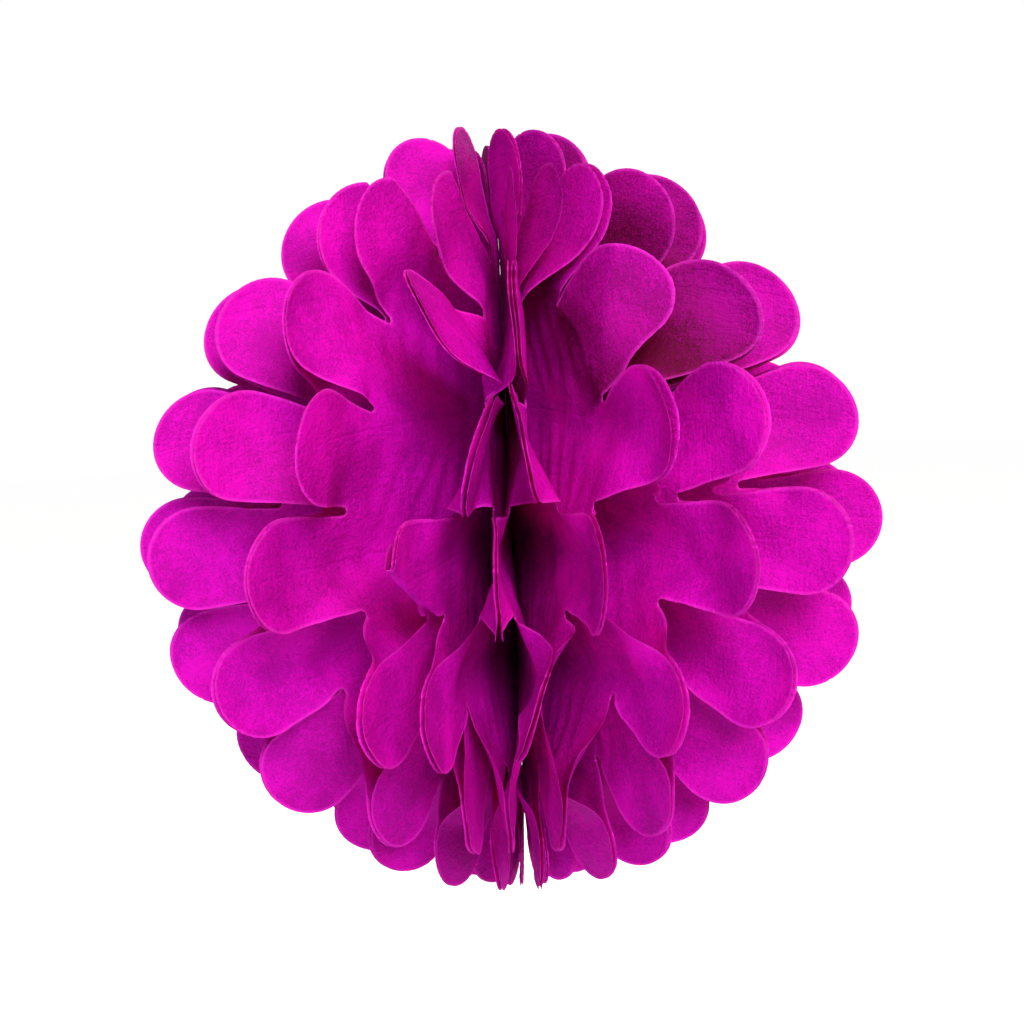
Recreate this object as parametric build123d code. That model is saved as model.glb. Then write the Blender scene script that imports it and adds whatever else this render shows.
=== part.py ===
from build123d import *
import math
import os

# A tissue honeycomb ball: thirty-six die-cut leaves stand round an upright spine, and each is glued
# to its two neighbours along level lines that alternate, so that opening the fan pulls every leaf
# into a zigzag of cells. Two card covers carry the first and the last leaf. They meet in one seam.
# Millimetres and degrees. Origin at the ball's centre, +Z up the spine, the front looks to -Y.
# A bearing is counted from the front, and grows towards +X.

# The flat, die-cut leaf: nine petals on a circle whose centre lies a little behind the spine.
SHEET_RADIUS = 132.0
SPINE_SETBACK = 9.5
PETALS = 9
PETAL_PITCH = 19.4
SLOT_WIDTH = 2.2
SLOT_BOTTOM = 94.0
SLOT_FLARE = math.radians(5)
TIP_CHORDS = 4
LEAF_THICKNESS = 0.12

# The petal at either end is narrower: it stands clear of the spine above a crotch at its foot.
END_TIP_RADIUS = 14.0
CROTCH_HEIGHT = 87.0

# The honeycomb: even glue lines join the two leaves of a pair, odd ones join a pair to the next.
LEAVES = 36
GLUE_PITCH = 40.0
GLUE_GAP = 0.1
LAST_LINE = 4
MEAN_STEP = math.radians(360 / LEAVES)

# How far each glued pair has settled from an even spread of one pair every 20 degrees.
PAIR_DRIFT = (0, 0.5, 1, 1.5, 2, -2, 3, 5.5, -3, -7.5, -6, -8, -2, -1.5, -1, -1, -0.5, 0)
FIRST_PAIR = -160.0
SEAM_BEARING = -170.0

# The spine that the leaves turn about, and the eye that the ball hangs from.
INNER_EDGE = 3.4
FOLD_START = 3.0
SPINE_RADIUS = 1.8
SPINE_HALF_LENGTH = 80.0
KNOT_RADIUS = 2.4
KNOT_LENGTH = 2.4
KNOT_ROUNDING = 0.8
EYE_RADIUS = 2.6
EYE_HOLE_RADIUS = 1.5
EYE_THICKNESS = 1.2

# The two card covers at the seam, and the adhesive pads that hold them together.
COVER_THICKNESS = 0.25
COVER_HALF_GAP = 0.1
TURNING_COVER_EDGE = 3.6
PAD_THICKNESS = 0.15
PAD_WIDTH = 14.0
PAD_HEIGHT = 30.0
PAD_ROUNDING = 3.0
PAD_RADIUS = 40.0
PAD_HEIGHTS = (-50.0, 0.0, 50.0)

# Beyond the rim, where the folded sheet is trimmed to the petals.
TRIM_RADIUS = 136.0
PRISM_HALF_DEPTH = 40.0

# From the seam to the middle of the first or the last leaf where it lies on its cover.
BESIDE_COVER = COVER_HALF_GAP + COVER_THICKNESS + GLUE_GAP / 2 + LEAF_THICKNESS / 2


def pair_bearing(pair):
    """Bearing of a glued pair's even lines; pairs are counted from the seam."""
    turns, place = divmod(pair, LEAVES // 2)
    return FIRST_PAIR + 360 * turns + 20 * place + PAIR_DRIFT[place]


def line_bearing(leaf, line):
    """Bearing at which a leaf, counted from 0, crosses a glue line."""
    pair = leaf // 2
    if line % 2 == 0:
        return pair_bearing(pair)
    if leaf == 0 or leaf == LEAVES - 1:
        return SEAM_BEARING + (360 if leaf else 0)
    other = pair - 1 if leaf % 2 == 0 else pair + 1
    return (pair_bearing(pair) + pair_bearing(other)) / 2


def side_of_line(leaf, line):
    """How far a leaf's middle stands to the +bearing side of a glue line."""
    if line % 2:
        if leaf == 0:
            return BESIDE_COVER
        if leaf == LEAVES - 1:
            return -BESIDE_COVER
    half = (LEAF_THICKNESS + GLUE_GAP) / 2
    lower_leaf = leaf % 2 == line % 2
    return -half if lower_leaf else half


def mean_bearing(leaf):
    """Bearing of the plane that a leaf zigzags about."""
    return (line_bearing(leaf, 0) + line_bearing(leaf, 1)) / 2


def place(bearing, radius, height, aside=0.0):
    """A point at a bearing and radius, moved aside towards greater bearings."""
    angle = math.radians(bearing)
    out = Vector(math.sin(angle), -math.cos(angle), 0)
    across = Vector(math.cos(angle), math.sin(angle), 0)
    return out * radius + across * aside + Vector(0, 0, height)


def shrink(radius):
    """What is left of a leaf's height at a radius once the cells are open."""
    return math.sqrt(1 - (radius * MEAN_STEP / GLUE_PITCH) ** 2)


def on_circle(radius, angle):
    """A point round the petal circle's centre, as distance from the spine and height."""
    return radius * math.cos(angle) - SPINE_SETBACK, radius * math.sin(angle)


def petal_tip(petal):
    """The round tip of a petal, as short chords of an arc that meets both straight flanks."""
    # The slots open outwards, so a flank's line passes a little to one side of the petal circle's centre.
    passing = SLOT_WIDTH / 2 * math.cos(SLOT_FLARE) - SLOT_BOTTOM * math.sin(SLOT_FLARE)
    if abs(petal) == PETALS // 2:
        tip_radius = END_TIP_RADIUS
    else:
        lean = math.sin(math.radians(PETAL_PITCH / 2) - SLOT_FLARE)
        tip_radius = (SHEET_RADIUS * lean - passing) / (1 + lean)
    spread = math.asin((tip_radius + passing) / (SHEET_RADIUS - tip_radius))
    # An end petal is narrower, and keeps the flank that is nearer the middle row.
    flank = math.radians((abs(petal) - 0.5) * PETAL_PITCH) + SLOT_FLARE
    aim = math.copysign(flank + spread, petal) if petal else 0.0
    middle = on_circle(SHEET_RADIUS - tip_radius, aim)
    points = []
    for chord in range(TIP_CHORDS + 1):
        angle = aim + (math.pi / 2 + spread) * (2 * chord / TIP_CHORDS - 1)
        points.append((middle[0] + tip_radius * math.cos(angle), middle[1] + tip_radius * math.sin(angle)))
    return points


def slot_end(petal):
    """The two corners at the bottom of the slot above a petal."""
    slot = math.radians((petal + 0.5) * PETAL_PITCH)
    half_width = math.asin(SLOT_WIDTH / 2 / SLOT_BOTTOM)
    return [on_circle(SLOT_BOTTOM, slot + side * half_width) for side in (-1, 1)]


def petal_outline():
    """Outline of the flat leaf, from the lower crotch round the petals to the upper one."""
    last = PETALS // 2
    points = [(INNER_EDGE, -CROTCH_HEIGHT)]
    for petal in range(-last, last + 1):
        points += petal_tip(petal)
        if petal < last:
            points += slot_end(petal)
    return points + [(INNER_EDGE, CROTCH_HEIGHT)]


def leaf_face(inner_edge, opened):
    """The leaf's outline from the spine outwards, drawn on the front plane as radius and height."""
    points = [(max(x, inner_edge), y * shrink(x) if opened else y) for x, y in petal_outline()]
    return Plane.XZ * make_face(Polyline(points, close=True))


def polygon(corners):
    return Face(Wire.make_polygon(corners, close=True))


def zigzag_sheet(leaf):
    """The folded sheet before die cutting: between two glue lines lie two flat facets."""
    across = place(mean_bearing(leaf) + 90, LEAF_THICKNESS / 2, 0)
    spine, rim = [], []
    lines = range(-LAST_LINE, LAST_LINE + 1)
    for line in lines:
        bearing = line_bearing(leaf, line)
        aside = side_of_line(leaf, line)
        height = line * GLUE_PITCH
        edge = math.sqrt(max(SHEET_RADIUS**2 - height**2, (SHEET_RADIUS / 5) ** 2))
        drop = height * (1 - shrink(edge)) / edge
        spine.append(place(bearing, FOLD_START, height, aside))
        rim.append(place(bearing, TRIM_RADIUS, height - drop * TRIM_RADIUS, aside))
    faces = []
    for side in (1, -1):
        shift = across * side
        for n in range(len(lines) - 1):
            # The fold across a panel runs from the spine end of the lower line to the rim of the higher.
            near, far = (n, n + 1) if lines[n] >= 0 else (n + 1, n)
            for corners in ((spine[near], rim[near], rim[far]), (spine[near], rim[far], spine[far])):
                faces.append(polygon([corner + shift for corner in corners]))
    border = [spine[0], *rim, *reversed(spine)]
    for start, end in zip(border, border[1:]):
        faces.append(polygon([start + across, end + across, end - across, start - across]))
    return Solid(Shell(faces))


def leaf_solid(leaf):
    """One tissue leaf: the folded sheet trimmed to the nine petals."""
    cutter = extrude(leaf_face(INNER_EDGE, True), PRISM_HALF_DEPTH, both=True)
    # The outline is drawn towards +X, so it turns back by 90 degrees to its bearing.
    cutter = Rot(Z=mean_bearing(leaf) - 90) * cutter
    return zigzag_sheet(leaf) & cutter


def at_seam(flat):
    """A plate drawn on the front plane towards +X, turned to the bearing of the seam."""
    return Rot(Z=SEAM_BEARING - 90) * flat


def cover_plate(inner_edge):
    """A flat card cover, die-cut with the leaves, standing on the seam plane's far side."""
    # Extruding the front plane's face goes towards -Y, so the plate is then set back beyond the gap.
    plate = extrude(leaf_face(inner_edge, False), COVER_THICKNESS)
    return Pos(Y=COVER_HALF_GAP + COVER_THICKNESS) * plate


def fixed_cover():
    """The cover that stays with the spine, with a root strip that reaches in to it."""
    reach = INNER_EDGE - SPINE_RADIUS
    root = Pos(SPINE_RADIUS + reach / 2, COVER_HALF_GAP + COVER_THICKNESS / 2) * Box(
        reach, COVER_THICKNESS, 2 * SPINE_HALF_LENGTH
    )
    return at_seam(cover_plate(INNER_EDGE) + root)


def turning_cover():
    """The cover that closes the fan, on the other side of the seam."""
    return at_seam(mirror(cover_plate(TURNING_COVER_EDGE), Plane.XZ))


def adhesive_pad(height):
    """A double-sided pad on the fixed cover, just short of the turning one."""
    outline = Plane.XZ * Pos(PAD_RADIUS, height) * RectangleRounded(PAD_WIDTH, PAD_HEIGHT, PAD_ROUNDING)
    return at_seam(Pos(Y=COVER_HALF_GAP) * extrude(outline, PAD_THICKNESS))


def spine():
    """The glued and thread-bound core that the leaves fan out from."""
    return Cylinder(SPINE_RADIUS, 2 * SPINE_HALF_LENGTH)


def knot(end):
    """The knot of the binding thread at the top (1) or the bottom (-1) of the spine."""
    bead = fillet(Cylinder(KNOT_RADIUS, KNOT_LENGTH).edges(), KNOT_ROUNDING)
    return Pos(Z=end * (SPINE_HALF_LENGTH + KNOT_LENGTH / 2)) * bead


def hanging_eye():
    """The small eye on the upper knot, which takes a hanging thread."""
    foot_width = 2 * (KNOT_RADIUS - KNOT_ROUNDING)
    outline = Circle(EYE_RADIUS) + Pos(0, -EYE_RADIUS / 2) * Rectangle(foot_width, EYE_RADIUS)
    outline -= Circle(EYE_HOLE_RADIUS)
    eye = extrude(Plane.XZ * outline, EYE_THICKNESS / 2, both=True)
    return Pos(Z=SPINE_HALF_LENGTH + KNOT_LENGTH + EYE_RADIUS) * eye


def write_parts():
    """Writes every sub-part to a STEP file of its own name."""
    pieces = {
        "spine": spine(),
        "knot_top": knot(1),
        "knot_bottom": knot(-1),
        "hanging_eye": hanging_eye(),
        "cover_fixed": fixed_cover(),
        "cover_turning": turning_cover(),
    }
    for name, height in zip(("low", "middle", "high"), PAD_HEIGHTS):
        pieces[f"pad_{name}"] = adhesive_pad(height)
    for leaf in range(LEAVES):
        pieces[f"leaf_{leaf + 1:02d}"] = leaf_solid(leaf)
    os.makedirs("parts", exist_ok=True)
    for name, piece in pieces.items():
        piece.label = name
        export_step(piece, f"parts/{name}.step")


write_parts()
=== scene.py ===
"""The looks of a petal-cut paper honeycomb ball, laid out as a Blender add-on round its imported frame.

Metres and radians. Origin at the ball's centre, +Z up the spine, the front looks to -Y.
A bearing is counted from the front and grows towards +X.
"""

import math

import bmesh
import bpy
from bpy.props import FloatProperty, FloatVectorProperty, IntProperty, PointerProperty
from mathutils import Matrix, Vector, kdtree, noise


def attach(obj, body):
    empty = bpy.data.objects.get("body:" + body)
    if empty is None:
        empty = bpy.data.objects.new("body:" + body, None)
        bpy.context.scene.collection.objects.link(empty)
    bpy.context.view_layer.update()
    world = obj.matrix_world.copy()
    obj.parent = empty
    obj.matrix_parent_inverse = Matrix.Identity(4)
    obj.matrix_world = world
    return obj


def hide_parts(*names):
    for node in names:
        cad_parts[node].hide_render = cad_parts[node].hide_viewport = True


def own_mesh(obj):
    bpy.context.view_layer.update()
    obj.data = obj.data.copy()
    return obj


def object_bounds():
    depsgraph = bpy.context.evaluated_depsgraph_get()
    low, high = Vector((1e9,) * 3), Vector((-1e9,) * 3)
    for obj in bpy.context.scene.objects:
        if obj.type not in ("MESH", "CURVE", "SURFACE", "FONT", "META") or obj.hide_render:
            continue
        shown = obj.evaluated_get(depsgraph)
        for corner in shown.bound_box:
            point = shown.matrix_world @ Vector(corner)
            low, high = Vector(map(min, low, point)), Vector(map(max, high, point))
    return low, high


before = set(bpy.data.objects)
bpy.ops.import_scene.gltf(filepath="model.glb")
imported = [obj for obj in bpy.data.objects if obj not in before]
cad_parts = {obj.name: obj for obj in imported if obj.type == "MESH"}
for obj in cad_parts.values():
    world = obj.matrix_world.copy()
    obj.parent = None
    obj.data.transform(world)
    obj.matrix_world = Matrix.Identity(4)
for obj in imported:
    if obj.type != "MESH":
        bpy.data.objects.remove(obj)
CAD_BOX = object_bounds()

bl_info = {
    "name": "Paper honeycomb ball",
    "version": (1, 0, 0),
    "blender": (4, 5, 0),
    "location": "View3D > Sidebar > Honeycomb",
    "description": "Tissue leaves, card covers, spine and stage of a petal-cut honeycomb ball",
    "category": "Add Mesh",
}

# The leaves, counted from the seam at the back. Two neighbours are a pair, joined along the even glue lines.
LEAVES = 36
PAIRS = LEAVES // 2
PETALS = 9
LAST_LINE = PETALS // 2
MEAN_STEP = math.tau / LEAVES
PAIR_STEP = 360 / PAIRS
FIRST_PAIR = -160.0
SEAM_BEARING = -170.0

# Degrees by which each pair has settled from an even spread.
PAIR_DRIFT = (0, 0.5, 1, 1.5, 2, -2, 3, 5.5, -3, -7.5, -6, -8, -2, -1.5, -1, -1, -0.5, 0)

# Joint n lies between leaf n and leaf n + 1, and row 0 is the middle row of petals. Degrees by which a joint
# has drifted further at one row, from the spine to the petal tips: {(joint, row): degrees}.
ROW_DRIFT = {
    (8, 4): -12, (10, 4): -26, (12, 4): -38, (14, 4): -8, (16, 4): 12, (18, 4): 34, (20, 4): 36, (22, 4): 30,
    (9, 3): -12, (11, 3): -2, (13, 3): -10.5, (15, 3): -5.5, (17, 3): 20, (19, 3): 27, (21, 3): 30,
    (23, 3): 26, (25, 3): 5,
    (12, 2): -5, (14, 2): 9, (16, 2): 8, (18, 2): 6, (20, 2): 14, (22, 2): 15, (24, 2): 4,
    (13, 1): -5, (15, 1): 4.5, (17, 1): -0.5, (19, 1): -1, (21, 1): -6,
    (13, -1): 4, (15, -1): -4,
    (10, -2): 4, (12, -2): 10, (14, -2): 4, (18, -2): -6, (20, -2): -7,
}

# A leaf that has come away from its joint at a row, the bearing it stands at there, and the joint whose petals
# it lies with: {(leaf, row): (degrees, joint)}.
LOOSE = {
    (14, 3): (-14.4, 15), (16, 3): (4, 16), (17, 3): (8, 17), (18, 3): (18.5, 17), (19, 3): (21, 17),
    (18, 2): (5.5, 16),
    (14, 1): (-4.3, 15),
}

# Degrees by which only the free petals of a joint lean: {(joint, row): degrees}.
LEAN = {
    (17, 3): 9,
    (12, 2): 2, (14, 2): -9, (16, 2): -3, (18, 2): 9,
    (13, 1): 2.5, (15, 1): 1.5, (17, 1): -3,
    (12, 0): 1.5, (16, 0): 1.2, (18, 0): -2.5, (20, 0): -2.5,
    (17, -1): -3,
}

# Degrees by which the petals of a joint hang down in their own plane: {(joint, row): degrees}.
DROOP = {
    (7, 3): 8, (9, 3): 8, (17, 3): -8, (19, 3): -5, (21, 3): -5,
    (10, 2): -3, (12, 2): -5, (18, 2): -20,
    (15, 1): 8, (19, 1): -9, (21, 1): -8,
    (11, -1): 6, (13, -1): 12, (15, -1): 14, (17, -1): 4, (19, -1): 14, (21, -1): 8,
    (10, -2): 5, (12, -2): 11, (14, -2): 10, (16, -2): 6, (18, -2): 8, (20, -2): 12, (22, -2): 5,
    (11, -3): 4, (13, -3): 5, (19, -3): 4,
}

# Degrees by which the petals of a joint turn about their middle line: {(joint, row): degrees}.
TWIST = {
    (14, 4): -8, (16, 4): -12,
    (17, 3): 6, (19, 3): -6, (21, 3): -8,
    (12, 2): -12, (14, 2): -30, (18, 2): -14, (20, 2): -20, (22, 2): -10,
    (15, 1): 16, (17, 1): -11,
    (17, -1): 17,
}

# Painted shade at the petals of a joint, dark red where they lie in the shadow of the petals in front:
# {(joint, row): share}. A share of more than 1 stays darkest for longer towards the tips.
PAINTED_SHADE = {
    (10, 4): 0.3, (14, 4): 0.5, (18, 4): 0.7, (20, 4): 1.2, (22, 4): 1.2, (24, 4): 1.0,
    (13, 3): 0.15, (15, 3): 0.3, (17, 3): 0.5, (19, 3): 1.3, (21, 3): 1.2, (23, 3): 0.8,
    (18, 2): 0.9, (20, 2): 1.3, (22, 2): 0.5,
    (11, 1): 0.15, (13, 1): 0.1,
    (12, 0): 0.25,
    (10, -2): 0.2, (12, -2): 0.2, (18, -2): 0.25, (20, -2): 0.2,
    (13, -3): 0.25, (19, -3): 0.25,
}

# Degrees by which all petals of a row sag in their own plane.
SAG = {2: 4, 3: 5}

# The first leaf whose top petals stand upright: those of the leaves before it splay away from the spine.
FIRST_UPRIGHT = 16

# Creases and bends across the petals of a joint: {(joint, row): ((along, above, turn, fold, softness), ...)}.
# The bend's line passes through a point that lies along the petal from its slots' ends and above its middle
# line, both in metres. Past it, in the direction that turns from outward towards up by so many degrees, the
# petal folds by so many degrees towards greater bearings, over a soft distance in metres. The bend nearest
# the tip comes first.
BENDS = {
    (14, 0): ((0, -0.0145, -60, -172, 0.003),),
    (18, 2): ((0.009, -0.006, -57, 25, 0.003),),
}

# The leaf's mesh: straight edges in a slot's round end, cuts along a bend, how far from the spine those cuts
# begin, how near two points are merged, and how finely the rim is followed to measure from it.
SLOT_SEGMENTS = 6
BEND_CUTS = 4
BEND_CUTS_FROM = 0.08
CUT_TOLERANCE = 1e-6
MERGE_DISTANCE = 0.0003
RIM_SPACING = 0.0008

# Widths of the rim's painted highlight and of a glue line, as they show in the tissue.
RIM_WIDTH = 0.0013
LINE_WIDTH = 0.0009

# The lamps: size, place and colour. All of them aim at the ball's centre, and their powers are settings.
LAMPS = {
    "high": (0.7, (0.45, -0.7, 0.95), (1.0, 0.8, 0.14)),
    "left": (0.6, (-0.42, -0.98, -0.4), (0.94, 0.95, 1.0)),
    "front": (0.42, (0.2, -1.0, 0.56), (1.0, 0.95, 0.99)),
    "back": (1.0, (0.3, 1.15, 0.5), (1.0, 0.98, 1.0)),
}
FLOOR_RADIUS = 6.0
FLOOR_GLOW = 0.9
SENSOR_WIDTH = 36.0


# --------------------------------------
# Settings


class LeafSettings(bpy.types.PropertyGroup):
    """Sizes of the flat, die-cut leaf and of the honeycomb it is pulled into."""

    sheet_radius: FloatProperty(
        name="Sheet radius", description="From the petal circle's centre to the petal tips", default=0.132,
        unit="LENGTH",
    )
    spine_setback: FloatProperty(
        name="Spine setback", description="How far the petal circle's centre lies behind the spine",
        default=0.0095, unit="LENGTH",
    )
    petal_pitch: FloatProperty(
        name="Petal pitch", description="Angle from one petal to the next", default=math.radians(19.4),
        subtype="ANGLE",
    )
    slot_width: FloatProperty(
        name="Slot width", description="Width of the foot of a slot", default=0.0022, unit="LENGTH"
    )
    slot_flare: FloatProperty(
        name="Slot flare", description="How far a petal's straight flank turns from the slot's middle line",
        default=math.radians(7), subtype="ANGLE",
    )
    slot_bottom: FloatProperty(
        name="Slot bottom", description="From the petal circle's centre to the end of a slot", default=0.094,
        unit="LENGTH",
    )
    inner_edge: FloatProperty(
        name="Inner edge", description="From the spine's axis to the leaf", default=0.0034, unit="LENGTH"
    )
    glue_pitch: FloatProperty(
        name="Glue pitch", description="Height from one glue line to the next", default=0.04, unit="LENGTH"
    )
    glue_gap: FloatProperty(
        name="Glue gap", description="Between the middles of two glued leaves", default=0.00022, unit="LENGTH"
    )
    thickness: FloatProperty(
        name="Thickness", description="Thickness of a leaf", default=0.00009, unit="LENGTH"
    )
    grid_step: FloatProperty(
        name="Grid step", description="Size of a leaf's mesh faces", default=0.0025, unit="LENGTH"
    )
    fold_softness: FloatProperty(
        name="Fold softness", description="Share of the glue pitch over which a fold rounds off", default=0.16
    )
    free_reach: FloatProperty(
        name="Free reach", description="Distance past a slot's end in which a petal comes free", default=0.02,
        unit="LENGTH",
    )
    flattening: FloatProperty(
        name="Flattening", description="How far a free petal has opened its fold", default=0.95
    )
    tip_segments: IntProperty(
        name="Tip segments", description="Straight edges in the round of a petal tip", default=28
    )
    end_tip: FloatProperty(
        name="End tip", description="Radius of the tip of a leaf's first and last petal", default=0.014,
        unit="LENGTH",
    )
    pressed: FloatProperty(
        name="Pressed", description="Share by which the lower end is pressed in", default=0.04
    )
    end_drop: FloatProperty(
        name="End drop", description="How much shorter the first and the last petal are", default=0.001,
        unit="LENGTH",
    )
    crotch: FloatProperty(
        name="Crotch", description="Height where the end petals leave the spine", default=0.087, unit="LENGTH"
    )
    crumple: FloatProperty(
        name="Crumple", description="Depth of the soft waves in the tissue", default=0.0015, unit="LENGTH"
    )
    flutes: FloatProperty(
        name="Flutes", description="Depth of the pleats beside the spine", default=0.0006, unit="LENGTH"
    )
    splay: FloatProperty(
        name="Splay", description="How far a top petal leans outwards for its height above the crotch",
        default=0.2,
    )
    rim_band: FloatProperty(
        name="Rim band", description="Width of the cut edge that turns outwards", default=0.0013, unit="LENGTH"
    )
    rim_curl: FloatProperty(
        name="Rim curl", description="How far the cut edge turns outwards", default=0.00028, unit="LENGTH"
    )
    parting: FloatProperty(
        name="Parting", description="How far the tips of a pair's petals stand off its middle", default=0.0002,
        unit="LENGTH",
    )
    tip_curl: FloatProperty(
        name="Tip curl", description="How far petal tips bend aside", default=0.0035, unit="LENGTH"
    )


class CoverSettings(bpy.types.PropertyGroup):
    """Sizes of the two card covers, which are cut to the same outline as the leaves."""

    thickness: FloatProperty(
        name="Card thickness", description="Thickness of a cover", default=0.00025, unit="LENGTH"
    )
    half_gap: FloatProperty(
        name="Half gap", description="From the seam to a cover's inner face", default=0.0001, unit="LENGTH"
    )
    turning_edge: FloatProperty(
        name="Turning cover's edge", description="From the spine's axis to the turning cover", default=0.0036,
        unit="LENGTH",
    )
    root_start: FloatProperty(
        name="Root start", description="Where the fixed cover's root strip meets the spine", default=0.0018,
        unit="LENGTH",
    )
    root_height: FloatProperty(
        name="Root height", description="Half the height of the root strip", default=0.08, unit="LENGTH"
    )
    cut_edge: FloatProperty(
        name="Cut edge", description="Width to which the die rounds the card's edges", default=0.00006,
        unit="LENGTH",
    )


class FinishSettings(bpy.types.PropertyGroup):
    """Colours of the paper, the card, the thread and the eye."""

    tissue: FloatVectorProperty(
        name="Tissue", description="Colour that the tissue reflects", subtype="COLOR",
        default=(0.56, 0.0005, 0.46),
    )
    tissue_thin: FloatVectorProperty(
        name="Thin tissue", description="Colour of the tissue where it is thin", subtype="COLOR",
        default=(1.0, 0.003, 0.86),
    )
    tissue_through: FloatVectorProperty(
        name="Tissue against light", description="Colour that the tissue lets through", subtype="COLOR",
        default=(0.93, 0.001, 0.46),
    )
    # Painted highlight: the pale colour painted along the cut edge, where the curled rim catches the light.
    tissue_rim_highlight: FloatVectorProperty(
        name="Frayed tissue", description="Colour of the frayed, cut edge", subtype="COLOR",
        default=(1.0, 0.045, 0.86),
    )
    # Painted shade: the dark red that stands in for the shadow on petals that lie behind others.
    tissue_painted_shade: FloatVectorProperty(
        name="Deep tissue", description="Colour of the tissue where the dye has taken most", subtype="COLOR",
        default=(0.14, 0.0002, 0.05),
    )
    translucency: FloatProperty(
        name="Translucency", description="Share of the light that passes into the tissue", default=0.32,
        subtype="FACTOR",
    )
    card: FloatVectorProperty(
        name="Card", description="Colour of the cover card", subtype="COLOR", default=(0.52, 0.003, 0.34)
    )
    thread: FloatVectorProperty(
        name="Thread", description="Colour of the binding thread", subtype="COLOR", default=(0.10, 0.004, 0.07)
    )
    eye: FloatVectorProperty(
        name="Eye", description="Colour of the hanging eye", subtype="COLOR", default=(0.03, 0.025, 0.03)
    )
    adhesive: FloatVectorProperty(
        name="Adhesive", description="Colour of the pads", subtype="COLOR", default=(0.88, 0.86, 0.8)
    )


class StageSettings(bpy.types.PropertyGroup):
    """Camera, lamps and floor."""

    camera_distance: FloatProperty(
        name="Camera distance", description="From the ball's centre", default=0.425, unit="LENGTH"
    )
    camera_elevation: FloatProperty(
        name="Camera elevation", description="Above the horizon", default=math.radians(8.0), subtype="ANGLE"
    )
    camera_roll: FloatProperty(
        name="Camera roll", description="Turn about the camera's own line of sight", default=math.radians(2.5),
        subtype="ANGLE",
    )
    camera_lens: FloatProperty(
        name="Lens", description="Focal length for a 36 mm sensor, in millimetres", default=43.56
    )
    camera_shift_x: FloatProperty(
        name="Shift X", description="Sideways shift, as a share of the frame", default=0.001
    )
    camera_shift_y: FloatProperty(
        name="Shift Y", description="Upward shift, as a share of the frame", default=0.0098
    )
    floor_drop: FloatProperty(
        name="Floor drop", description="From the ball's lowest point to the floor", default=0.35, unit="LENGTH"
    )
    sky_strength: FloatProperty(
        name="Sky strength", description="Light from all round", default=0.1
    )
    high_power: FloatProperty(
        name="High power", description="Watts of the warm lamp high at the right", default=5.5
    )
    left_power: FloatProperty(
        name="Left power", description="Watts of the lamp in front, low at the left", default=5.0
    )
    back_power: FloatProperty(
        name="Back power", description="Watts of the lamp behind the ball", default=9.0
    )
    front_power: FloatProperty(
        name="Front power", description="Watts of the lamp above the camera", default=12.5
    )


# --------------------------------------
# Finishes


class Reading:
    """A number on a shader socket, with arithmetic that adds Math nodes."""

    def __init__(self, finish, socket):
        self.finish = finish
        self.socket = socket

    def _maths(self, operation, first, second=0.0):
        node = self.finish.node("ShaderNodeMath", {"operation": operation}, {0: first, 1: second})
        return Reading(self.finish, node.outputs[0])

    def __add__(self, other):
        return self._maths("ADD", self, other)

    __radd__ = __add__

    def __sub__(self, other):
        return self._maths("SUBTRACT", self, other)

    def __rsub__(self, other):
        return self._maths("SUBTRACT", other, self)

    def __mul__(self, other):
        return self._maths("MULTIPLY", self, other)

    __rmul__ = __mul__

    def highest(self, other):
        return self._maths("MAXIMUM", self, other)

    def ramp(self, low, high):
        """0 at low and below, 1 at high and above, smooth between."""
        node = self.finish.node(
            "ShaderNodeMapRange", {"interpolation_type": "SMOOTHSTEP"}, {0: self, 1: low, 2: high}
        )
        return Reading(self.finish, node.outputs[0])


class Nodes:
    """The emptied node tree of a material or a world."""

    def __init__(self, holder):
        holder.use_nodes = True
        self.tree = holder.node_tree
        self.tree.nodes.clear()

    def node(self, kind, settings=None, sockets=None):
        """Adds a node: its settings first, then values or links for its sockets."""
        node = self.tree.nodes.new(kind)
        for name, value in (settings or {}).items():
            setattr(node, name, value)
        for name, value in (sockets or {}).items():
            if isinstance(value, Reading):
                value = value.socket
            if isinstance(value, bpy.types.NodeSocket):
                self.tree.links.new(value, node.inputs[name])
            else:
                node.inputs[name].default_value = value
        return node


class Finish(Nodes):
    """A new material and the nodes in it."""

    def __init__(self, name):
        self.material = bpy.data.materials.new(name)
        super().__init__(self.material)
        self.coordinates = self.node("ShaderNodeTexCoord")

    def noise(self, scale, detail=2.0, roughness=0.5, where="Object", stretch=(1, 1, 1), distortion=0.0):
        """Cloudy pattern with this many features to a metre."""
        mapping = self.node(
            "ShaderNodeMapping", None, {"Vector": self.coordinates.outputs[where], "Scale": stretch}
        )
        sockets = {"Scale": scale, "Detail": detail, "Roughness": roughness, "Distortion": distortion}
        node = self.node("ShaderNodeTexNoise", None, {"Vector": mapping.outputs[0], **sockets})
        return Reading(self, node.outputs[0])

    def attribute(self, name):
        node = self.node("ShaderNodeAttribute", {"attribute_name": name})
        return Reading(self, node.outputs["Fac"])

    def mixed(self, share, first, second):
        """First colour at 0 and second at 1."""
        node = self.node(
            "ShaderNodeMix", {"data_type": "RGBA", "clamp_factor": True}, {0: share, 6: first, 7: second}
        )
        return node.outputs[2]

    def bump(self, height, distance, strength=1.0):
        node = self.node(
            "ShaderNodeBump", None, {"Height": height, "Distance": distance, "Strength": strength}
        )
        return node.outputs[0]

    def principled(self, sockets):
        return self.node("ShaderNodeBsdfPrincipled", None, sockets)

    def surface(self, shader):
        """Joins a shader to the output, and gives the material."""
        self.node("ShaderNodeOutputMaterial", None, {"Surface": shader.outputs[0]})
        return self.material


def opaque(colour):
    return (*colour, 1.0)


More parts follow.
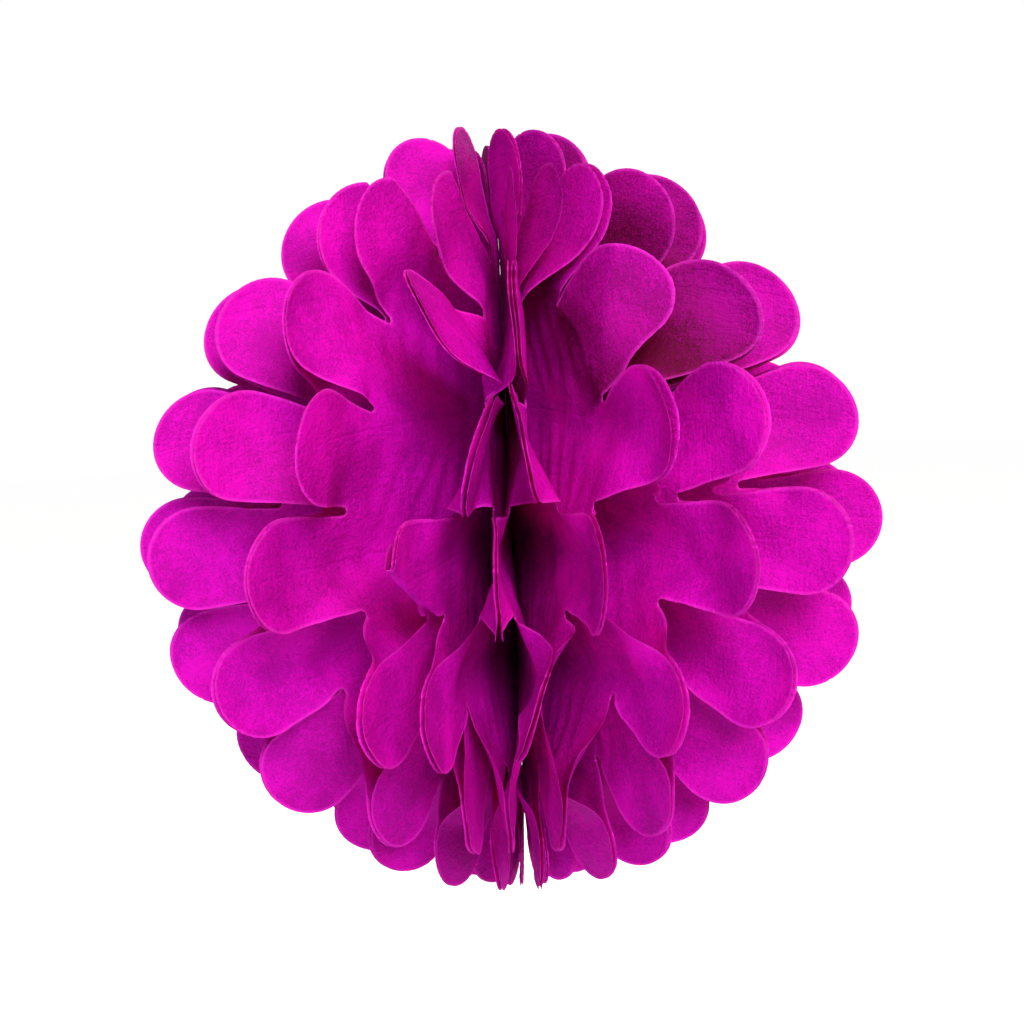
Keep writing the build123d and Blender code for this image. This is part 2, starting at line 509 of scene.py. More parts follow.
def tissue_finish(colours):
    """Thin dyed tissue: cloudy fibres, pleats, a painted rim highlight, painted shade and light that shines
    through.
    """
    finish = Finish("magenta_tissue")
    fibres = finish.noise(800, 3.0, 0.6)
    specks = finish.noise(2100, 2.0, 0.7)
    clouds = finish.noise(60, 3.0, 0.55)
    mottle = (fibres * 0.28 + specks * 0.68 + clouds * 0.55 - 0.255).ramp(0.4, 0.6)
    rim = 1.0 - finish.attribute("rim_distance").ramp(0.0, RIM_WIDTH)
    line = 1.0 - finish.attribute("line_distance").ramp(0.0, LINE_WIDTH)
    # The rim is drawn towards the thin tissue's paler colour: a painted highlight along the cut edge.
    evenly = finish.mixed(mottle + rim * 0.8, opaque(colours.tissue), opaque(colours.tissue_thin))
    # Painted shade: shadowed petals are darkened towards dark red, a little less where the tissue is paler.
    deep = finish.attribute("deep_dye") * (1.0 - mottle * 0.3)
    with_painted_shade = finish.mixed(deep, evenly, opaque(colours.tissue_painted_shade))
    # Painted highlight: a paler, whiter colour along the cut edge, where the curled rim catches the light.
    colour = finish.mixed(rim * (0.3 + clouds * 0.7), with_painted_shade, opaque(colours.tissue_rim_highlight))
    pleats = finish.noise(30, 3.0, 0.6, "UV", stretch=(9.0, 1.6, 1.0), distortion=0.6)
    creases = finish.noise(42, 3.0, 0.6, "UV", stretch=(1.2, 3.5, 1.0), distortion=0.8)
    height = fibres * 0.3 + specks * 0.2 + pleats * 0.34 + creases * 0.55 - line * 0.15
    relief = finish.bump(height, 0.0012, 0.8)
    paper = finish.principled({
        "Base Color": colour, "Roughness": fibres * 0.2 + 0.55, "Specular IOR Level": 0.1, "Normal": relief
    })
    glow = finish.node(
        "ShaderNodeBsdfTranslucent", None, {"Color": opaque(colours.tissue_through), "Normal": relief}
    )
    share = mottle * 0.14 + (colours.translucency - 0.07)
    both = finish.node("ShaderNodeMixShader", None, {0: share, 1: paper.outputs[0], 2: glow.outputs[0]})
    return finish.surface(both)


def card_finish(colours):
    """Dyed cover card with a pulp grain that is paler in places."""
    finish = Finish("cover_card")
    pulp = finish.noise(900, 4.0, 0.6)
    clouds = finish.noise(60, 2.0, 0.5)
    paler = tuple(min(1.0, part * 1.2 + 0.004) for part in colours.card)
    grain = (pulp * 0.5 + clouds * 0.6).ramp(0.35, 0.8)
    colour = finish.mixed(grain, opaque(colours.card), opaque(paler))
    relief = finish.bump(pulp + clouds * 0.5, 0.0002, 0.5)
    return finish.surface(
        finish.principled({"Base Color": colour, "Roughness": pulp * 0.25 + 0.5, "Normal": relief})
    )


def thread_finish(colours):
    """Cotton thread set in glue, wound tightly round the spine, with painted shade in the grooves between
    turns.
    """
    finish = Finish("binding_thread")
    where = finish.coordinates.outputs["Object"]
    wound = finish.node(
        "ShaderNodeTexWave", {"bands_direction": "Z"},
        {"Vector": where, "Scale": 400.0, "Distortion": 1.2, "Detail": 2.0},
    )
    turns = Reading(finish, wound.outputs["Fac"])
    fuzz = finish.noise(2500, 3.0, 0.6)
    # The colour is darker where the turns dip: painted shade in the grooves between them.
    darker = tuple(part * 0.45 for part in colours.thread)
    colour = finish.mixed(turns * 0.6 + fuzz * 0.4, opaque(darker), opaque(colours.thread))
    relief = finish.bump(turns + fuzz * 0.4, 0.0004, 0.8)
    return finish.surface(
        finish.principled({"Base Color": colour, "Roughness": fuzz * 0.3 + 0.55, "Normal": relief})
    )


def eye_finish(colours):
    """Dark moulded plastic, faintly brushed by the mould."""
    finish = Finish("eye_plastic")
    grain = finish.noise(3000, 3.0, 0.6)
    scuffs = finish.noise(400, 4.0, 0.7, stretch=(1, 1, 4))
    lighter = tuple(part + 0.03 for part in colours.eye)
    colour = finish.mixed(scuffs, opaque(colours.eye), opaque(lighter))
    relief = finish.bump(grain, 0.0001, 0.3)
    return finish.surface(
        finish.principled({"Base Color": colour, "Roughness": scuffs * 0.25 + 0.3, "Normal": relief})
    )


def adhesive_finish(colours):
    """Double-sided pad with a creped backing."""
    finish = Finish("adhesive_pad")
    crepe = finish.noise(500, 3.0, 0.6, stretch=(1, 1, 5))
    clouds = finish.noise(90, 2.0, 0.5)
    darker = tuple(part * 0.82 for part in colours.adhesive)
    colour = finish.mixed(crepe * 0.5 + clouds * 0.5, opaque(darker), opaque(colours.adhesive))
    relief = finish.bump(crepe, 0.0002, 0.5)
    return finish.surface(finish.principled({
        "Base Color": colour, "Roughness": crepe * 0.3 + 0.3, "Coat Weight": 0.3, "Normal": relief
    }))


# --------------------------------------
# Shapes


def joint_of(leaf, line):
    """The joint that a leaf is glued in at a line: joint n lies between leaf n and leaf n + 1."""
    return leaf if leaf % 2 == line % 2 else leaf - 1


def pair_bearing(pair):
    """Bearing of a pair's even glue lines, in degrees."""
    turns, place = divmod(pair, PAIRS)
    return FIRST_PAIR + 360 * turns + PAIR_STEP * place + PAIR_DRIFT[place]


def joint_bearing(joint, line=None):
    """Bearing of a joint in degrees, with its drift if a line is given. The covers have the end joints."""
    if joint % 2 == 0:
        bearing = pair_bearing(joint // 2)
    elif joint in (-1, LEAVES - 1):
        bearing = SEAM_BEARING + (360 if joint > 0 else 0)
    else:
        bearing = (pair_bearing((joint - 1) // 2) + pair_bearing((joint + 1) // 2)) / 2
    return bearing + ROW_DRIFT.get((joint, line), 0.0)


def eased(share, softness):
    """A straight climb from 0 to 1 whose two ends are rounded off over a softness."""
    climb = 1 - softness
    if share < softness:
        return share * share / (2 * softness) / climb
    if share > climb:
        return 1 - (1 - share) ** 2 / (2 * softness) / climb
    return (share - softness / 2) / climb


def smooth_step(share):
    share = min(1.0, max(0.0, share))
    return share * share * (3 - 2 * share)


def arc(sizes, reach, aim, radius, start, turn, segments):
    """Points round a middle that lies at a reach and an aim from the petal circle's centre."""
    points = []
    for step in range(segments + 1):
        angle = start + turn * step / segments
        x = reach * math.cos(aim) + radius * math.cos(angle)
        y = reach * math.sin(aim) + radius * math.sin(angle)
        points.append((x - sizes.spine_setback, y))
    return points


def petal_tip(sizes, petal):
    """The round tip of a petal, an arc that meets both straight flanks."""
    flare = sizes.slot_flare
    # The slots open outwards, so a flank's line passes a little to one side of the petal circle's centre.
    passing = sizes.slot_width / 2 * math.cos(flare) - sizes.slot_bottom * math.sin(flare)
    if abs(petal) == LAST_LINE:
        radius = sizes.end_tip
        reach = sizes.sheet_radius - sizes.end_drop - radius
    else:
        lean = math.sin(sizes.petal_pitch / 2 - flare)
        radius = (sizes.sheet_radius * lean - passing) / (1 + lean)
        reach = sizes.sheet_radius - radius
    spread = math.asin((radius + passing) / reach)
    # An end petal is narrower, and keeps the flank that is nearer the middle row.
    flank = (abs(petal) - 0.5) * sizes.petal_pitch + flare
    aim = math.copysign(flank + spread, petal) if petal else 0.0
    half_turn = math.pi / 2 + spread
    return arc(sizes, reach, aim, radius, aim - half_turn, 2 * half_turn, sizes.tip_segments)


def slot_end(sizes, petal):
    """The round end of the slot above a petal."""
    half_slot = sizes.slot_width / 2
    slot = (petal + 0.5) * sizes.petal_pitch
    flare = sizes.slot_flare
    reach = sizes.slot_bottom + half_slot
    radius = half_slot * (math.cos(flare) + math.sin(flare))
    start = slot + 1.5 * math.pi - flare
    return arc(sizes, reach, slot, radius, start, 2 * flare - math.pi, SLOT_SEGMENTS)


def leaf_outline(sizes):
    """Outline of the flat leaf, as distance from the spine and height, from crotch to crotch."""
    points = [(sizes.inner_edge, -sizes.crotch)]
    for petal in range(-LAST_LINE, LAST_LINE + 1):
        points += petal_tip(sizes, petal)
        if petal < LAST_LINE:
            points += slot_end(sizes, petal)
    points.append((sizes.inner_edge, sizes.crotch))
    return [(max(x, sizes.inner_edge), y) for x, y in points]


def turned(first, second, angle):
    """Two lengths at right angles to each other, after a turn from the first towards the second."""
    return (
        first * math.cos(angle) - second * math.sin(angle),
        first * math.sin(angle) + second * math.cos(angle),
    )


def bent(past, aside, fold, softness):
    """Where a point past a bend's line comes to: how far past it, and how far to the side."""
    turned = fold * min(past, softness) / softness
    straight = max(0.0, past - softness)
    radius = softness / fold
    on = radius * math.sin(turned) + (straight * math.cos(turned)) - aside * math.sin(turned)
    over = radius * (1 - math.cos(turned)) + straight * math.sin(turned) + aside * math.cos(turned)
    return on, over


def flat_leaf(sizes):
    """The die-cut leaf, flat in X (from the spine) and Y (up), cut into a fine grid and along its bends."""
    shape = bmesh.new()
    corners = [shape.verts.new((x, y, 0)) for x, y in leaf_outline(sizes)]
    sheet = shape.faces.new(corners)
    bmesh.ops.inset_region(shape, faces=[sheet], thickness=sizes.rim_band, use_even_offset=True)
    for axis, low, high in (
        (Vector((0, 1, 0)), -sizes.sheet_radius, sizes.sheet_radius),
        (Vector((1, 0, 0)), sizes.inner_edge, sizes.sheet_radius - sizes.spine_setback),
    ):
        cuts = round((high - low) / sizes.grid_step)
        for cut in range(1, cuts):
            everything = shape.verts[:] + shape.edges[:] + shape.faces[:]
            cut_through(shape, everything, axis * (low + (high - low) * cut / cuts), axis)
    for (_, petal), bends in BENDS.items():
        aim = petal * sizes.petal_pitch
        for along, above, turn, _, softness in bends:
            reach = sizes.slot_bottom + along
            spot = Vector((
                reach * math.cos(aim) - above * math.sin(aim) - sizes.spine_setback,
                reach * math.sin(aim) + above * math.cos(aim),
                0,
            ))
            past = Vector((math.cos(aim + math.radians(turn)), math.sin(aim + math.radians(turn)), 0))
            for cut in range(BEND_CUTS):
                place = spot + past * (softness * cut / (BEND_CUTS - 1))
                cut_through(shape, petal_parts(shape, sizes, petal), place, past)
    bmesh.ops.remove_doubles(shape, verts=shape.verts, dist=MERGE_DISTANCE)
    many_sided = [face for face in shape.faces if len(face.verts) > 4]
    bmesh.ops.triangulate(shape, faces=many_sided)
    return shape


def cut_through(shape, parts, place, across):
    """Cuts parts of a mesh along a plane through a place."""
    bmesh.ops.bisect_plane(shape, geom=parts, dist=CUT_TOLERANCE, plane_co=place, plane_no=across)


def petal_parts(shape, sizes, petal):
    """The faces of a flat petal and of its foot, with their edges and corners."""
    faces = []
    for face in shape.faces:
        centre = face.calc_center_median()
        if petal_at(sizes, centre) == petal and math.hypot(centre.x, centre.y) > BEND_CUTS_FROM:
            faces.append(face)
    edges = {edge for face in faces for edge in face.edges}
    corners = {corner for face in faces for corner in face.verts}
    return faces + list(edges) + list(corners)


def petal_at(sizes, spot):
    """The row of the petal that a flat spot belongs to."""
    petal = round(math.atan2(spot.y, spot.x + sizes.spine_setback) / sizes.petal_pitch)
    return min(LAST_LINE, max(-LAST_LINE, petal))


class LeafForm:
    """Where a leaf's flat points go once the ball is open."""

    # How far past its slots' ends a petal takes up its bends and its droop. The droop leads by a share.
    TURN_REACH = 0.008
    DROOP_REACH = 0.016
    DROOP_LEAD = 0.3

    # The top petals splay up to this far from the spine, and over the second distance the splay fades.
    SPLAY_END = 0.05
    SPLAY_FADE = 0.01

    # Below this depth the ball's lower end is pressed in, in full past the second distance.
    PRESSED_DEPTH = 0.085
    PRESSED_FADE = 0.04

    # Crumple: waves to a metre, how far apart two joints' waves are read, how strong and how much closer the
    # finer waves are, and how far from the spine the crumple has come in.
    WAVES = 38
    WAVE_SHIFT = (5.3, 1.7, 3.1)
    FINE_STRENGTH = 0.45
    FINE_RATIO = 2.3
    CRUMPLE_START = 0.06

    # Pleats: radians to a metre outwards and upwards, how far they wander and how fast, and where they start,
    # end and fade.
    PLEATS_OUT = 700
    PLEATS_UP = 240
    WANDER = 3.0
    WANDER_SCALE = (60, 40, 2.7)
    PLEATS_START = 0.012
    PLEATS_END = 0.085
    PLEATS_FADE = 0.03

    # How far apart the tip curls of two joints and of two rows are read.
    CURL_SHIFT = (1.37, 2.11, 0.5)

    # Painted shade: from where and over how far it comes in, and how much is lost towards the tip, and how
    # late.
    SHADE_START = 0.07
    SHADE_RISE = 0.024
    SHADE_LOSS = 0.65
    SHADE_LATENESS = 1.5

    def __init__(self, sizes, leaf):
        self.sizes = sizes
        self.leaf = leaf
        self.joints = []
        self.bearings = []
        for line in range(-LAST_LINE, LAST_LINE + 1):
            joint = joint_of(leaf, line)
            bearing, joint = LOOSE.get((leaf, line), (joint_bearing(joint, line), joint))
            self.joints.append(joint)
            self.bearings.append(bearing)
        self.sides = [-sizes.glue_gap / 2 if leaf <= joint else sizes.glue_gap / 2 for joint in self.joints]

    def between_lines(self, height):
        """The lower line at a height, as a list index, and how far the leaf has gone to the next."""
        along = height / self.sizes.glue_pitch + LAST_LINE
        index = min(2 * LAST_LINE - 1, max(0, math.floor(along)))
        share = min(1.0, max(0.0, along - index))
        return index, eased(share, self.sizes.fold_softness)

    def read(self, values, height):
        """One of the values kept for each line, at a height."""
        index, share = self.between_lines(height)
        return values[index] + (values[index + 1] - values[index]) * share

    def joint_at(self, petal):
        return self.joints[petal + LAST_LINE]

    def outward(self, reach):
        """0 up to the slots' ends and 1 at the petal tips."""
        sizes = self.sizes
        return max(0.0, reach - sizes.slot_bottom) / (sizes.sheet_radius - sizes.slot_bottom)

    def crumple(self, joint, x, y):
        """Soft waves that the two leaves of a joint share."""
        over, up, deep = self.WAVE_SHIFT
        spot = Vector((x * self.WAVES + joint * over, y * self.WAVES + joint * up, joint * deep))
        return noise.noise(spot) + self.FINE_STRENGTH * noise.noise(spot * self.FINE_RATIO)

    def shaped(self, x, y, petal):
        """A flat point after its petal's own bends and twist: distance out, height, and distance aside."""
        sizes = self.sizes
        which = (self.joint_at(petal), petal)
        aim = petal * sizes.petal_pitch
        outward = Vector((math.cos(aim), math.sin(aim)))
        upward = Vector((-math.sin(aim), math.cos(aim)))
        flat = Vector((x + sizes.spine_setback, y))
        along = flat.dot(outward) - sizes.slot_bottom
        above = flat.dot(upward)
        aside = 0.0
        for at, over, turn, fold, softness in BENDS.get(which, ()):
            turn = math.radians(turn)
            past = (along - at) * math.cos(turn) + (above - over) * math.sin(turn)
            if past > 0:
                new_past, aside = bent(past, aside, math.radians(fold), softness)
                along += (new_past - past) * math.cos(turn)
                above += (new_past - past) * math.sin(turn)
        drooping = smooth_step(along / self.DROOP_REACH + self.DROOP_LEAD)
        droop = math.radians(DROOP.get(which, 0.0) + SAG.get(petal, 0.0)) * drooping
        along, above = turned(along, above, -droop)
        above, aside = turned(above, aside, math.radians(TWIST.get(which, 0.0)))
        free = smooth_step((flat.length - sizes.slot_bottom) / self.TURN_REACH)
        moved = outward * (along + sizes.slot_bottom) + upward * above - flat
        return x + moved.x * free, y + moved.y * free, aside * free

    def bearing_at(self, y, petal, middle, free, outward):
        """Bearing of a flat point in degrees. A free petal stands at the bearing of its middle line."""
        bearing = self.read(self.bearings, y)
        # The glue lines run off the sheet below its end petals, which stand at their rows' own bearings.
        if abs(petal) < LAST_LINE - 1:
            own = self.read(self.bearings, middle)
        else:
            own = self.bearings[petal + LAST_LINE]
        bearing += (own - bearing) * free * self.sizes.flattening
        return bearing + LEAN.get((self.joint_at(petal), petal), 0.0) * smooth_step(outward)

    def height_at(self, x, y, middle, free, raised):
        """Height of a flat point, less what the open cells pull in, and with what its petal is raised by."""
        sizes = self.sizes
        shrink = math.sqrt(1 - (x * MEAN_STEP / sizes.glue_pitch) ** 2)
        height = y * shrink
        height += (middle * shrink + (y - middle) - height) * free + raised
        pressing = smooth_step((-height - self.PRESSED_DEPTH) / self.PRESSED_FADE)
        return height * (1 - sizes.pressed * pressing)

    def waves_at(self, x, y, free):
        """How far the glue, the crumple and the pleats put a flat point aside."""
        sizes = self.sizes
        index, share = self.between_lines(y)
        waves = self.crumple(self.joints[index], x, y) * (1 - share)
        waves += self.crumple(self.joints[index + 1], x, y) * share
        over, up, each = self.WANDER_SCALE
        wander = self.WANDER * noise.noise(Vector((x * over, y * up, self.leaf * each)))
        pleats = math.sin(math.pi * share) * math.sin(x * self.PLEATS_OUT + y * self.PLEATS_UP + wander)
        fading = smooth_step((self.PLEATS_END - x) / self.PLEATS_FADE) * (1 - free)
        aside = self.read(self.sides, y)
        aside += waves * sizes.crumple * smooth_step(x / self.CRUMPLE_START)
        return aside + pleats * sizes.flutes * smooth_step(x / self.PLEATS_START) * fading

    def curl_at(self, petal, outward, from_rim):
        """How far a petal's tip bends aside, its pair parts, and its cut edge turns outwards."""
        sizes = self.sizes
        joint = self.joint_at(petal)
        each_joint, each_row, level = self.CURL_SHIFT
        curl = noise.noise(Vector((joint * each_joint, petal * each_row, level)))
        away = -1 if self.leaf <= joint else 1
        near_rim = 1 - min(1.0, from_rim / sizes.rim_band)
        return (curl * sizes.tip_curl + away * sizes.parting) * outward**2 + away * sizes.rim_curl * near_rim**2

    def point(self, x, y, from_rim):
        """Where a flat point comes to, given its distance from the cut edge."""
        sizes = self.sizes
        reach = math.hypot(x + sizes.spine_setback, y)
        petal = petal_at(sizes, Vector((x, y)))
        free = smooth_step((reach - sizes.slot_bottom) / sizes.free_reach)
        outward = self.outward(reach)
        middle = reach * math.sin(petal * sizes.petal_pitch)
        distance, moved_y, aside = self.shaped(x, y, petal)
        if self.leaf < FIRST_UPRIGHT:
            splaying = smooth_step((self.SPLAY_END - x) / self.SPLAY_FADE)
            distance += sizes.splay * max(0.0, y - sizes.crotch) * splaying
        aside += self.waves_at(x, y, free) + self.curl_at(petal, outward, from_rim)
        angle = math.radians(self.bearing_at(y, petal, middle, free, outward))
        out = Vector((math.sin(angle), -math.cos(angle), 0))
        beside = Vector((math.cos(angle), math.sin(angle), 0))
        height = self.height_at(x, y, middle, free, moved_y - y)
        return out * distance + beside * aside + Vector((0, 0, height))

    def painted_shade_at(self, x, y):
        """How much shade is painted at a flat point: most at the foot of a shadowed petal, less towards its
        tip.
        """
        reach = math.hypot(x + self.sizes.spine_setback, y)
        petal = petal_at(self.sizes, Vector((x, y)))
        share = PAINTED_SHADE.get((self.joint_at(petal), petal), 0.0)
        shading_in = smooth_step((reach - self.SHADE_START) / self.SHADE_RISE)
        return share * shading_in * (1 - self.SHADE_LOSS * self.outward(reach) ** self.SHADE_LATENESS)

    def middle_bearing(self):
        """Bearing of the plane that the leaf zigzags about, in radians."""
        even, odd = (joint_bearing(joint_of(self.leaf, line)) for line in (0, 1))
        return math.radians((even + odd) / 2)


def new_piece(name, shape):
    """A new object with a bmesh's shape, in the scene, with smooth faces."""
    mesh = bpy.data.meshes.new(name)
    shape.to_mesh(mesh)
    mesh.polygons.foreach_set("use_smooth", [True] * len(mesh.polygons))
    piece = bpy.data.objects.new(name, mesh)
    bpy.context.scene.collection.objects.link(piece)
    return piece


def shade_evenly(piece):
    """Keeps a thin piece's broad faces even right up to their rims."""
    even = piece.modifiers.new("even shading", "WEIGHTED_NORMAL")
    even.weight = 100


def write_leaf_marks(mesh, sizes):
    """Keeps, on the still flat mesh, its own UV map and how far each point is from the rim and a glue line."""
    outline = [Vector((x, y, 0)) for x, y in leaf_outline(sizes)]
    spots = []
    for start, end in zip(outline, outline[1:]):
        pieces = max(1, round((end - start).length / RIM_SPACING))
        spots += [start.lerp(end, step / pieces) for step in range(pieces)]
    tree = kdtree.KDTree(len(spots))
    for index, spot in enumerate(spots):
        tree.insert(spot, index)
    tree.balance()
    rim = mesh.attributes.new("rim_distance", "FLOAT", "POINT")
    rim.data.foreach_set("value", [tree.find(vertex.co)[2] for vertex in mesh.vertices])
    line = mesh.attributes.new("line_distance", "FLOAT", "POINT")
    pitch = sizes.glue_pitch
    heights = [vertex.co.y for vertex in mesh.vertices]
    line.data.foreach_set("value", [abs(height - pitch * round(height / pitch)) for height in heights])
    layer = mesh.uv_layers.new(name="flat")
    side = 2 * sizes.sheet_radius
    for loop in mesh.loops:
        spot = mesh.vertices[loop.vertex_index].co
        layer.data[loop.index].uv = (spot.x / side, spot.y / side + 0.5)


def give_finish(node_name, material):
    """Puts a finish on a CAD node."""
    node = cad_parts[node_name]
    if node.material_slots:
        for slot in node.material_slots:
            slot.material = material
    else:
        node.data.materials.append(material)


# --------------------------------------
# Operators


class HONEYCOMB_OT_leaves(bpy.types.Operator):
    """Makes the thirty-six tissue leaves"""

    bl_idname = "honeycomb.leaves"
    bl_label = "Make tissue leaves"

    def execute(self, context):
        sizes = context.scene.honeycomb_leaf
        material = tissue_finish(context.scene.honeycomb_finish)
        shape = flat_leaf(sizes)
        template = new_piece("flat_leaf", shape)
        shape.free()
        write_leaf_marks(template.data, sizes)
        template.data.materials.append(material)
        for leaf in range(LEAVES):
            self.make_leaf(template, sizes, leaf)
        bpy.data.objects.remove(template)
        return {"FINISHED"}

    def make_leaf(self, template, sizes, leaf):
        name = f"leaf_{leaf + 1:02d}"
        piece = template.copy()
        piece.data = template.data.copy()
        piece.name = f"tissue_{name}"
        bpy.context.scene.collection.objects.link(piece)
        form = LeafForm(sizes, leaf)
        vertices = piece.data.vertices
        # Each point keeps how much shade is painted on it.
        painted_shade_at = piece.data.attributes.new("deep_dye", "FLOAT", "POINT")
        painted_shade_at.data.foreach_set("value", [form.painted_shade_at(vertex.co.x, vertex.co.y) for vertex in vertices])
        rim = piece.data.attributes["rim_distance"].data
        for vertex in vertices:
            vertex.co = form.point(vertex.co.x, vertex.co.y, rim[vertex.index].value)
        wall = piece.modifiers.new("paper thickness", "SOLIDIFY")
        wall.thickness = sizes.thickness
        wall.offset = 0.0
        shade_evenly(piece)
        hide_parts(name)
        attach(piece, name)
        middle = form.middle_bearing()
        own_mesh(piece)


class HONEYCOMB_OT_covers(bpy.types.Operator):
    """Makes the two card covers and gives their pads a finish"""

    bl_idname = "honeycomb.covers"
    bl_label = "Make covers and finish pads"

    def execute(self, context):
        leaf = context.scene.honeycomb_leaf
        cover = context.scene.honeycomb_cover
        colours = context.scene.honeycomb_finish
        card = card_finish(colours)
        outline = leaf_outline(leaf)
        height = cover.root_height
        root = [(cover.root_start, height), (cover.root_start, -height), (leaf.inner_edge, -height)]
        fixed = outline + [(leaf.inner_edge, height)] + root
        turning = [(max(x, cover.turning_edge), y) for x, y in outline]
        self.make_cover("cover_fixed", "core", fixed, cover.half_gap, cover, card)
        self.make_cover("cover_turning", "cover", turning, -cover.half_gap - cover.thickness, cover, card)
        pad = adhesive_finish(colours)
        for place in ("low", "middle", "high"):
            give_finish(f"pad_{place}", pad)
        return {"FINISHED"}

    def make_cover(self, name, body, outline, aside, sizes, material):
        """Cuts a cover from card, lying from one distance aside of the seam to a card's thickness further."""
        shape = bmesh.new()
        sheet = shape.faces.new([shape.verts.new((x, y, aside)) for x, y in outline])
        grown = bmesh.ops.extrude_face_region(shape, geom=[sheet], use_keep_orig=True)
        raised = [part for part in grown["geom"] if isinstance(part, bmesh.types.BMVert)]
        bmesh.ops.translate(shape, verts=raised, vec=(0, 0, sizes.thickness))
        bmesh.ops.recalc_face_normals(shape, faces=shape.faces)
        rims = [edge for edge in shape.edges if max(len(face.verts) for face in edge.link_faces) > 4]
        bmesh.ops.bevel(
            shape, geom=rims, offset=sizes.cut_edge, affect="EDGES", segments=1, profile=0.5, material=-1
        )
        bmesh.ops.triangulate(shape, faces=[face for face in shape.faces if len(face.verts) > 4])
        bearing = math.radians(SEAM_BEARING)
        stand = Matrix((
            (math.sin(bearing), 0, math.cos(bearing)), (-math.cos(bearing), 0, math.sin(bearing)), (0, 1, 0)
        ))
        bmesh.ops.transform(shape, matrix=stand.to_4x4(), verts=shape.verts)
        bmesh.ops.recalc_face_normals(shape, faces=shape.faces)
        piece = new_piece(f"card_{name}", shape)
        shape.free()
        piece.data.materials.append(material)
        shade_evenly(piece)
        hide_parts(name)
        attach(piece, body)


class HONEYCOMB_OT_spine(bpy.types.Operator):
    """Gives the spine, its knots and the hanging eye their finishes"""

    bl_idname = "honeycomb.spine"
    bl_label = "Finish spine and eye"

    def execute(self, context):
        colours = context.scene.honeycomb_finish
        thread = thread_finish(colours)
        for name in ("spine", "knot_top", "knot_bottom"):
            give_finish(name, thread)
        give_finish("hanging_eye", eye_finish(colours))
        return {"FINISHED"}


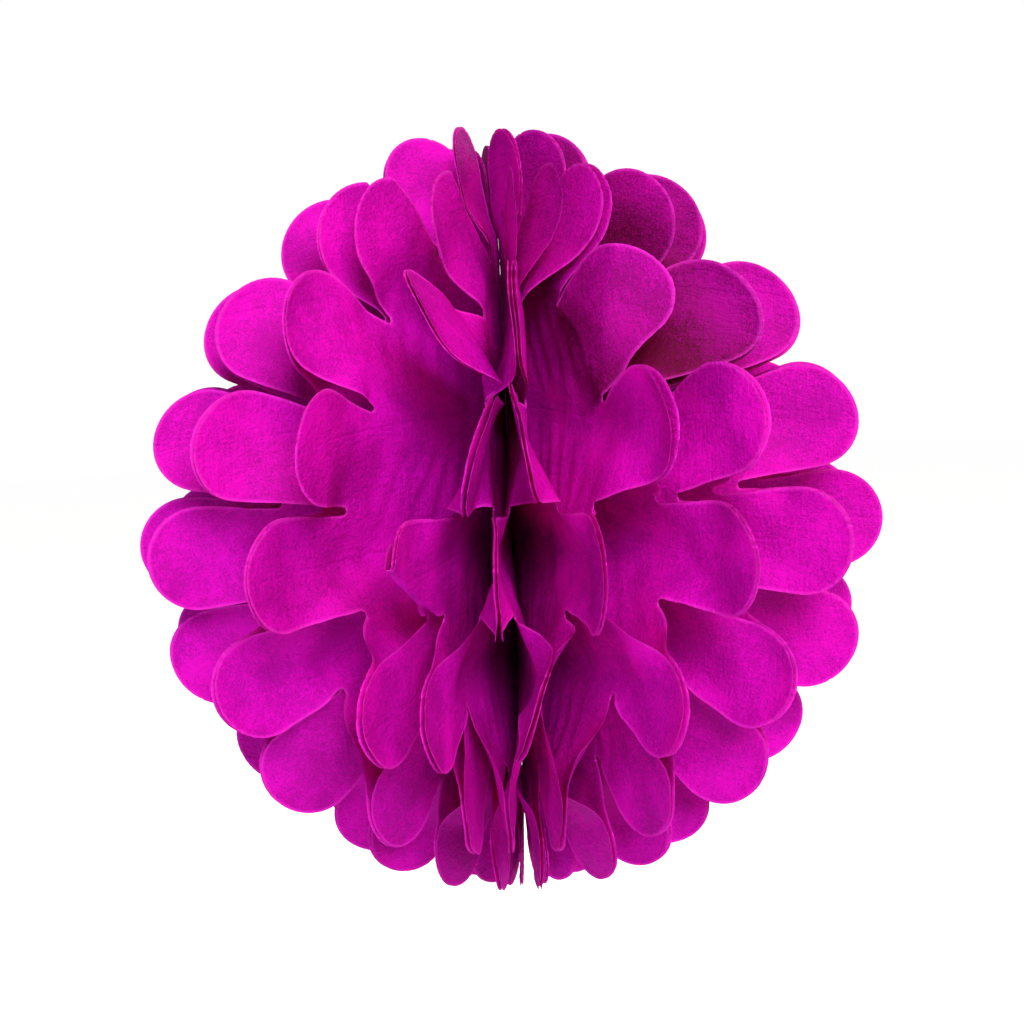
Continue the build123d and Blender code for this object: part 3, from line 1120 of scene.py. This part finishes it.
class HONEYCOMB_OT_stage(bpy.types.Operator):
    """Makes the floor, the backdrop light, the lamps and the camera"""

    bl_idname = "honeycomb.stage"
    bl_label = "Make stage"

    def execute(self, context):
        stage = context.scene.honeycomb_stage
        context.scene.view_settings.view_transform = "Standard"
        self.make_floor(stage)
        self.make_world(context.scene, stage)
        for name, (size, place, colour) in LAMPS.items():
            self.make_lamp(name, getattr(stage, f"{name}_power"), size, place, colour)
        self.make_camera(context.scene, stage)
        return {"FINISHED"}

    def make_floor(self, stage):
        shape = bmesh.new()
        bmesh.ops.create_circle(shape, cap_ends=True, radius=FLOOR_RADIUS, segments=64)
        lowest = CAD_BOX[0].z - stage.floor_drop
        bmesh.ops.translate(shape, verts=shape.verts, vec=(0, 0, lowest))
        floor = new_piece("floor", shape)
        shape.free()
        finish = Finish("pale_floor")
        sight = finish.node("ShaderNodeLightPath")
        grain = finish.noise(4, 2.0)
        colour = finish.mixed(grain, (0.86, 0.86, 0.86, 1), (0.9, 0.9, 0.9, 1))
        pale = finish.principled({"Base Color": colour, "Roughness": 0.9, "Specular IOR Level": 0.0})
        white = finish.node("ShaderNodeEmission", None, {"Color": (1, 1, 1, 1), "Strength": FLOOR_GLOW})
        brighter = finish.node("ShaderNodeAddShader", None, {0: pale.outputs[0], 1: white.outputs[0]})
        seen = Reading(finish, sight.outputs["Is Camera Ray"]).highest(
            Reading(finish, sight.outputs["Is Glossy Ray"])
        )
        shown = finish.node("ShaderNodeMixShader", None, {0: seen, 1: pale.outputs[0], 2: brighter.outputs[0]})
        floor.data.materials.append(finish.surface(shown))

    def make_world(self, scene, stage):
        world = bpy.data.worlds.new("soft studio")
        nodes = Nodes(world)
        white = (1, 1, 1, 1)
        sky = nodes.node("ShaderNodeBackground", None, {"Color": white, "Strength": stage.sky_strength})
        backdrop = nodes.node("ShaderNodeBackground", None, {"Color": white})
        seen = nodes.node("ShaderNodeLightPath").outputs["Is Camera Ray"]
        choice = nodes.node(
            "ShaderNodeMixShader", None, {0: seen, 1: sky.outputs[0], 2: backdrop.outputs[0]}
        )
        nodes.node("ShaderNodeOutputWorld", None, {"Surface": choice.outputs[0]})
        scene.world = world

    def make_lamp(self, name, power, size, place, colour):
        lamp = bpy.data.lights.new(name, "AREA")
        lamp.energy = power
        lamp.size = size
        lamp.color = colour
        holder = bpy.data.objects.new(name, lamp)
        holder.location = place
        holder.rotation_mode = "QUATERNION"
        holder.rotation_quaternion = (-Vector(place)).to_track_quat("-Z", "Y")
        bpy.context.scene.collection.objects.link(holder)

    def make_camera(self, scene, stage):
        camera = bpy.data.cameras.new("camera")
        camera.lens = stage.camera_lens
        camera.sensor_width = SENSOR_WIDTH
        camera.shift_x = stage.camera_shift_x
        camera.shift_y = stage.camera_shift_y
        holder = bpy.data.objects.new("camera", camera)
        tilt = Matrix.Rotation(math.pi / 2 - stage.camera_elevation, 4, "X")
        roll = Matrix.Rotation(-stage.camera_roll, 4, "Z")
        back = Matrix.Translation((0, 0, stage.camera_distance))
        holder.matrix_world = tilt @ roll @ back
        scene.collection.objects.link(holder)
        scene.camera = holder


class HONEYCOMB_PT_panel(bpy.types.Panel):
    """Lists the ball's settings and its operators in the sidebar"""

    bl_idname = "HONEYCOMB_PT_panel"
    bl_label = "Paper honeycomb ball"
    bl_space_type = "VIEW_3D"
    bl_region_type = "UI"
    bl_category = "Honeycomb"

    def draw(self, context):
        for settings in (
            context.scene.honeycomb_leaf,
            context.scene.honeycomb_cover,
            context.scene.honeycomb_finish,
            context.scene.honeycomb_stage,
        ):
            box = self.layout.box()
            for name in settings.__annotations__:
                box.prop(settings, name)
        for operator in OPERATORS:
            self.layout.operator(operator.bl_idname)


OPERATORS = (HONEYCOMB_OT_leaves, HONEYCOMB_OT_covers, HONEYCOMB_OT_spine, HONEYCOMB_OT_stage)
CLASSES = (LeafSettings, CoverSettings, FinishSettings, StageSettings, *OPERATORS, HONEYCOMB_PT_panel)


def register():
    for kind in CLASSES:
        bpy.utils.register_class(kind)
    bpy.types.Scene.honeycomb_leaf = PointerProperty(type=LeafSettings)
    bpy.types.Scene.honeycomb_cover = PointerProperty(type=CoverSettings)
    bpy.types.Scene.honeycomb_finish = PointerProperty(type=FinishSettings)
    bpy.types.Scene.honeycomb_stage = PointerProperty(type=StageSettings)


def unregister():
    del bpy.types.Scene.honeycomb_leaf
    del bpy.types.Scene.honeycomb_cover
    del bpy.types.Scene.honeycomb_finish
    del bpy.types.Scene.honeycomb_stage
    for kind in reversed(CLASSES):
        bpy.utils.unregister_class(kind)


def main():
    register()
    bpy.ops.honeycomb.leaves()
    bpy.ops.honeycomb.covers()
    bpy.ops.honeycomb.spine()
    bpy.ops.honeycomb.stage()


if __name__ == "__main__":
    main()
